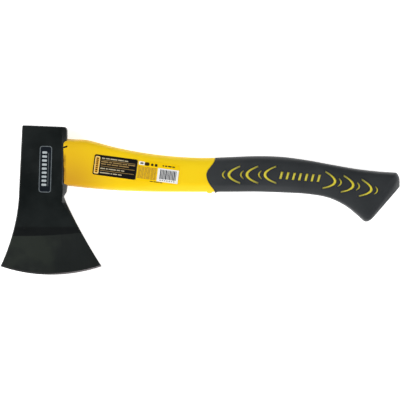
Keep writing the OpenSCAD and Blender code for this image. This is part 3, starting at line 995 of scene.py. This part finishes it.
def make_jacket(material):
    front = sleeve_front()
    shoulder = handle_ring(np.zeros(SIDES))
    start = np.maximum((lap_limit(*shoulder[:, 1:].T) - SHOULDER_X) / SHOULDER_LEN, 0)
    steps = np.concatenate([
        [0, 0.0015, 0.004, 0.009], np.linspace(0.02, 0.94, 76), np.linspace(0.945, 0.9985, 26), [1.0],
    ])
    rings = [handle_ring(blend(start, front, t)) for t in steps]
    rings[0] = handle_ring(start, 0.12)
    rings[-1] = handle_ring(front - 0.002, 0.35)
    rings = tang_rings(FRONT_X + TANG_START, rings[0]) + [nub(r) for r in rings]
    under = SLEEVE_WALL + BOND_GAP
    rings += [handle_ring(blend(front, JACKET_END, t), under) for t in np.linspace(0, 1, 60)]
    jacket = new_object("moulded_jacket", loft_solid(rings))
    points = np.array([v.co for v in jacket.data.vertices]) / MM - EYE_CENTRE
    x, y = points[:, 0], points[:, 1]
    # Painted shade beside the head, stronger towards the underside.
    low = smooth_step(14, -22, y)
    add_mask(jacket, "head_shade", (1 - smooth_step(22, 78, x)) * blend(0.45, 1.0, low))
    add_mask(jacket, "seam", (1 - smooth_step(19.4, 21.4, x)) * smooth_step(-20, -14, y)
             * (1 - smooth_step(4, 10, y)))
    nick_centre, nick_slope = (20.2, 14.9), math.radians(20)
    cut(jacket, plate_solid(rounded_box(4.4, 1.8, 0.8, 9.0, 14), nick_centre, nick_slope, level))
    cut(jacket, core_bore())
    finish_piece(jacket, material, ["handle_jacket"], sharp=40)


def crescent_grid(depth, half, thick, tip, trim, across):
    """A crescent's points in its own plane, its belly towards +x: rows tip to tip, then across."""
    t = np.sin(np.linspace(-math.pi / 2, math.pi / 2, 33))
    outer = np.stack([(depth - trim) * (1 - t ** 2), (half - trim) * t], -1)
    inner = np.stack([(depth - thick + trim) * (1 - t ** 2), (half - tip + trim) * t], -1)
    return outer[:, None] + (inner - outer)[:, None] * np.asarray(across)[None, :, None], t


LARGE = (12.2, CRESCENT_HALF, 2.75, 1.55)
SMALL = (3.4, SMALL_HALF, 1.45, 0.9)


def fore_place(points, i):
    """From a crescent's own plane to its place in the row nearer the head."""
    return turn(points, math.pi) + np.array([FORE_X + i * CRESCENT_PITCH, FORE_Y])


def aft_place(points, i):
    """From a crescent's own plane to its place in the row nearer the butt."""
    slope, tilt = math.radians(-12.2), math.radians(-10)
    step = turn(np.array([i * CRESCENT_PITCH * 1.03, 0.0]), slope)
    return turn(points, tilt) + step + np.array([AFT_X, AFT_Y])


def small_place(place_in_row):
    """The small crescents stand a step further on in the way that the bellies point."""
    return lambda points, i: place_in_row(points + np.array([CRESCENT_STEP, 0.0]), i)


MARK_COUNT = 7
MARK_W = 2.4
MARK_H = 7.0
MARK_LEAN = 0.7
MARK_LEN = AFT_X - FORE_X - 2 * CRESCENT_PITCH - 9.4
MARK_X = (FORE_X + 2 * CRESCENT_PITCH + AFT_X) / 2
MARK_Y = UNDER_Y + 14.4
MARK_SLOPE = math.radians(-4.5)


def mark_grid(i, trim, shares_x, shares_y):
    """One slanted bar of the row between the crescents."""
    centre = (i - (MARK_COUNT - 1) / 2) * MARK_LEN / (MARK_COUNT - 1)
    y = (MARK_H / 2 - trim) * shares_y
    x = centre + (MARK_W / 2 - trim) * shares_x[:, None] + MARK_LEAN * y / (MARK_H / 2)
    flat = np.stack([x, np.broadcast_to(y, x.shape)], -1)
    return turn(flat, MARK_SLOPE) + np.array([MARK_X, MARK_Y])


def prism(flat, reach=16.0):
    """A window's cutter: a grid in the plane, as a solid through the whole handle."""
    return layer_solid(flat, reach, -reach)


def make_sleeve(material):
    """The rubber sleeve, with a lip and a small bead below at its front, and the windows."""
    front = sleeve_front()
    wall = SLEEVE_WALL
    rings = [handle_ring(blend(JACKET_END + 0.004, front + 0.004, t), wall)
             for t in np.linspace(0, 1, 60)]
    lip = [(0.004, 0.5), (0.007, 0.2), (0.015, 0.05), (0.028, 0.0)]
    rings += [handle_ring(front + shift, inset) for shift, inset in lip]
    last = BUTT - 3
    rings += [handle_ring(blend(front + 0.028, last, t)) for t in np.linspace(0.006, 1, 190)]
    rings += [handle_ring(np.full(SIDES, last + u)) for u in np.linspace(0.1, 3, 24)]
    for ring in rings:
        ring[:, 0] = np.minimum(ring[:, 0], HANDLE_REACH)
        near = np.exp(-((ring[:, 0] - FRONT_TOP_X - 0.3) / BEAD_HALF_L) ** 2)
        low = smooth_step(-25.5, -28.0, ring[:, 1]) * (np.abs(ring[:, 2]) < BEAD_HALF_W)
        ring[:, 1] -= BEAD_DROP * near * low
    centre = rings[-1].mean(0)
    rings += [centre + (rings[-1] - centre) * shrink for shrink in (0.93, 0.75, 0.45)]
    sleeve = new_object("rubber_sleeve", loft_solid(rings))
    windows = []
    for place_in_row in (fore_place, aft_place):
        for size, spot in ((LARGE, place_in_row), (SMALL, small_place(place_in_row))):
            flat, _ = crescent_grid(*size, -WINDOW_GAP / 2, (0, 0.5, 1))
            windows += [prism(spot(flat, i)) for i in range(3)]
    ends = np.array([-1.0, 0.0, 1.0])
    windows += [prism(mark_grid(i, -WINDOW_GAP / 2, ends, ends)) for i in range(MARK_COUNT)]
    cut(sleeve, joined(windows))
    finish_piece(sleeve, material, ["grip_sleeve"], sharp=40)


RIM_SHARES = np.array([0, 0.04, 0.11, 0.22, 0.5, 0.78, 0.89, 0.96, 1.0])


def inlay_solid(flat, side, rim_drop, sink=0.12, depth=1.7):
    """An inlay between two heights under the sleeve's surface, with rounded rims."""
    height = handle_height(flat[..., 0], flat[..., 1])
    return layer_solid(flat, side * (height - sink - rim_drop), side * (height - depth))


def crescent_solid(size, spot, i, side):
    flat, t = crescent_grid(*size, WINDOW_GAP / 2, RIM_SHARES)
    rim = 0.4 * (1 - np.sqrt(np.clip(1 - (2 * RIM_SHARES - 1) ** 4, 0, 1)))
    rim_drop = np.maximum(rim[None, :], 0.4 * np.abs(t[:, None]) ** 24)
    tip = np.broadcast_to(smooth_step(0.45, 1.0, np.abs(t))[:, None], rim_drop.shape)
    return inlay_solid(spot(flat, i), side, rim_drop), np.tile(tip.ravel(), 2)


def make_crescents(name, node, size, spot, side, material):
    solids, tips = zip(*[crescent_solid(size, spot, i, side) for i in range(3)])
    piece = new_object(name, joined(solids))
    add_mask(piece, "tip", np.concatenate(tips))
    finish_piece(piece, material, [node], sharp=50)


def make_marks(name, node, side, material):
    shares = 2 * RIM_SHARES - 1
    rim = 0.3 * (1 - np.sqrt(np.clip(1 - shares ** 6, 0, 1)))
    rim_drop = np.maximum(rim[:, None], rim[None, :])
    solids = [
        inlay_solid(mark_grid(i, WINDOW_GAP / 2, shares, shares), side, rim_drop)
        for i in range(MARK_COUNT)
    ]
    piece = new_object(name, joined(solids))
    add_mask(piece, "tip", np.full(len(piece.data.vertices), 0.35))
    finish_piece(piece, material, [node], sharp=50)


def make_inlays(material):
    for side, end in ((1, "top"), (-1, "under")):
        for row, spot in (("fore", fore_place), ("aft", aft_place)):
            make_crescents(f"crescents_{row}_large_{end}", f"large_crescents_{row}_{end}",
                           LARGE, spot, side, material)
            make_crescents(f"crescents_{row}_small_{end}", f"small_crescents_{row}_{end}",
                           SMALL, small_place(spot), side, material)
        make_marks(f"bars_{end}", f"mark_bars_{end}", side, material)


# ==== The label: a film on the jacket, and what is printed on it ====

FILM_LOW = 0.1
FILM_HIGH = 0.26
INK = 0.03


def on_label(length, height, left, down, radius=0.0, layer=0):
    """A printed patch, placed by its left end and its distance down from the label's top."""
    base, top = FILM_LOW, FILM_HIGH
    if layer:
        base, top = FILM_HIGH + layer * INK, FILM_HIGH + (layer + 1) * INK
    patch = rounded_box(length, height, max(radius, 0.02), base, top)
    centre = np.array([left + length / 2 - LABEL_LEN / 2, LABEL_H / 2 - down])
    return plate_solid(patch, turn(centre, LABEL_TILT) + LABEL_CENTRE, LABEL_TILT, handle_height)


def word_row(words, left, down, height, gap=0.75, layer=2):
    """Plain bars in the place of a line of print."""
    bars = []
    for length in words:
        bars.append(on_label(length, height, left, down, height * 0.3, layer))
        left += length + gap
    return bars


# Each ink's two tones, 0 to 255, and its roughness
INKS = {
    "film_yellow": ((252, 206, 4), (255, 214, 12), 0.26),
    "ink_black": ((10, 10, 12), (18, 17, 17), 0.34),
    "ink_box": ((250, 214, 122), (254, 224, 142), 0.3),
    "ink_amber": ((226, 164, 52), (238, 178, 66), 0.3),
    "ink_pale": ((186, 174, 142), (206, 194, 164), 0.35),
    "ink_gold": ((150, 122, 70), (170, 142, 90), 0.35),
    "ink_brown": ((180, 134, 40), (194, 150, 58), 0.35),
    "ink_dark": ((44, 32, 12), (60, 46, 20), 0.35),
    "ink_white": ((240, 240, 238), (250, 250, 248), 0.35),
    "ink_grey": ((38, 40, 50), (54, 56, 66), 0.35),
}


def label_print(name, solids, material):
    finish_piece(new_object("label_" + name, joined(solids)), material)


def make_label():
    ink = {}
    for name, (base, other, roughness) in INKS.items():
        ink[name] = printed(name, colour(*base), colour(*other), roughness)
    film = new_object("label_sheet", on_label(LABEL_LEN, LABEL_H, 0, LABEL_H / 2, 2.0))
    finish_piece(film, ink["film_yellow"], ["handle_label"])
    label_print("panel", [on_label(PANEL_LEN, LABEL_H, 0, LABEL_H / 2, 1.9, 1)], ink["ink_black"])
    label_print("box", [on_label(4.6, 16.6, 1.1, 9.9, 1.0, 2)], ink["ink_box"])
    label_print("box_field", [on_label(3.2, 15.0, 1.8, 9.9, 0.8, 3)], ink["ink_amber"])
    dashes = [on_label(1.9, 1.2, 2.45, 3.6 + i * 1.8, 0.2, 4) for i in range(8)]
    label_print("box_dashes", dashes, ink["ink_dark"])

    pale = word_row((3.2, 3.6, 6.6, 5.4, 3.4), 7.2, 2.9, 0.95)
    pale += word_row((4.4, 2.0, 7.0, 3.4, 3.2), 7.0, 12.6, 0.9)
    pale += word_row((9.6, 1.6, 4.0, 3.6), 7.0, 16.7, 0.9)
    label_print("lines_pale", pale, ink["ink_pale"])
    gold = word_row((6.8, 3.0, 8.4, 4.4, 7.0), 7.0, 6.2, 1.0)
    gold += word_row((5.0, 3.8, 6.4, 9.4), 7.0, 8.3, 1.0)
    gold += [on_label(32.6, 0.42, 7.0, down, 0.1, 2) for down in (4.6, 10.5, 14.6)]
    gold += [on_label(0.4, LABEL_H - 0.6, PANEL_LEN - 0.2, LABEL_H / 2, 0.1, 2)]
    label_print("lines_gold", gold, ink["ink_gold"])

    fine = []
    for row in range(10):
        shift = 0.5 * (row % 4)
        words = (2.2 + shift, 3.4 - shift, 1.6 + shift, 3.9 - shift, 2.4 + shift / 2, 2.7 - shift / 2)
        fine += word_row(words, 42.8, 6.3 + row * 1.16, 0.8, 0.32, 1)
    label_print("fine_print", fine, ink["ink_brown"])
    icons = [on_label(4.6, 3.4, 48.4, 2.9, 1.4, 1), on_label(2.6, 2.6, 54.4, 3.0, 1.29, 1),
             on_label(2.4, 2.6, 58.2, 3.1, 0.5, 1)]
    icons += word_row((1.6, 2.2, 3.4, 2.6), 65.6, 2.6, 1.2, 0.7, 1)
    icons += word_row((3.2, 5.4, 2.6), 55.2, 18.8, 0.7, 0.5, 1)
    icons += [on_label(3.0, 1.3, 44.2, 2.7, 0.4, 2)]
    label_print("icons", icons, ink["ink_dark"])
    patches = [on_label(20.2, 12.8, 61.6, 11.6, 0.3, 1), on_label(5.4, 3.2, 42.9, 2.7, 0.3, 1)]
    label_print("patches", patches, ink["ink_white"])
    bars, left = [], 64.0
    widths = (1.1, 0.7, 0.9, 0.7, 1.2, 0.6, 0.7, 1.0, 0.7, 0.9, 1.2, 0.6)
    for width in widths:
        bars.append(on_label(width, 9.0, left, 10.8, 0.05, 2))
        left += width + 0.48
    bars += [on_label(1.2, 0.7, 64.4 + i * 2.2, 16.5, 0.2, 2) for i in range(7)]
    label_print("bars", bars, ink["ink_grey"])


# ==== Floor, light and camera ====

def make_floor():
    size, depth = 30.0, 0.02
    mesh = bpy.data.meshes.new("studio_floor")
    half = size / 2
    corners = [(x, y, z) for z in (-depth, 0) for x, y in
               ((-half, -half), (half, -half), (half, half), (-half, half))]
    faces = [(3, 2, 1, 0), (4, 5, 6, 7), (0, 1, 5, 4), (1, 2, 6, 5), (2, 3, 7, 6), (3, 0, 4, 7)]
    mesh.from_pydata(corners, [], faces)
    mesh.materials.append(light_table())
    link(bpy.data.objects.new("studio_floor", mesh))


def make_world():
    """A soft tent of light: bright low down, darker overhead, and dimmer beyond the poll."""
    world = bpy.data.worlds.new("studio_tent")
    world.use_nodes = True
    bpy.context.scene.world = world
    nodes = Nodes(world.node_tree)
    direction = nodes.new("SeparateXYZ", Vector=nodes.new("TexCoord").outputs["Generated"])
    height = nodes.span(direction.outputs["Z"], 0.3, 0.8, 0.8, 0.036, "SMOOTHSTEP")
    beyond = nodes.span(direction.outputs["Y"], -0.6, 0.6, 1.0, 0.55)
    background = world.node_tree.nodes["Background"]
    background.inputs["Color"].default_value = (1.0, 1.0, 1.0, 1.0)
    nodes.put(nodes.times(height, beyond), background.inputs["Strength"])


def make_lamp(name, place_m, size_m, watts):
    """A rectangular softbox that faces the middle of the frame and isn't seen itself."""
    light = bpy.data.lights.new(name, "AREA")
    light.shape = "RECTANGLE"
    light.size, light.size_y = size_m
    light.energy = watts
    lamp = bpy.data.objects.new(name, light)
    lamp.location = place_m
    lamp.rotation_euler = (-Vector(place_m)).to_track_quat("-Z", "Y").to_euler()
    lamp.visible_camera = False
    link(lamp)


def make_camera():
    """Straight above the axe, far off with a long lens, with the handle along the picture."""
    length = CAD_HIGH.x - CAD_LOW.x
    middle = (CAD_LOW + CAD_HIGH) / 2
    lens, film, margin = 400.0, 36.0, 1.002
    data = bpy.data.cameras.new("camera")
    data.lens = lens
    data.sensor_width = film
    away = length * margin * lens / film
    data.clip_start, data.clip_end = 0.1, 3 * away
    camera = bpy.data.objects.new("camera", data)
    camera.location = (middle.x, middle.y, middle.z + away)
    bpy.context.scene.camera = link(camera)


# ==== The scene ====

def dress_node(node, material):
    """A CAD node that keeps its shape gets a better material."""
    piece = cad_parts[node]
    piece.data.materials.clear()
    piece.data.materials.append(material)


make_camera()
make_floor()
make_world()
make_lamp("left_softbox", (-1.3, 0.1, 1.0), (0.9, 1.2), 25)
make_lamp("right_softbox", (1.5, -0.6, 0.7), (0.9, 1.2), 21)
bpy.context.scene.view_settings.view_transform = "Standard"

make_head(lacquered_steel())
make_badge(
    printed("badge_enamel", colour(14, 20, 28), colour(20, 26, 33), 0.3),
    printed("badge_grey", colour(104, 112, 116), colour(124, 131, 134), 0.36, 0.2),
    printed("badge_silver", colour(176, 186, 190), colour(198, 205, 208), 0.34, 0.2),
)
make_jacket(yellow_plastic())
make_sleeve(black_rubber())
make_inlays(inlay_plastic())
make_label()
dress_node("eye_resin", cast_resin())
dress_node("core_rod", glass_fibre())
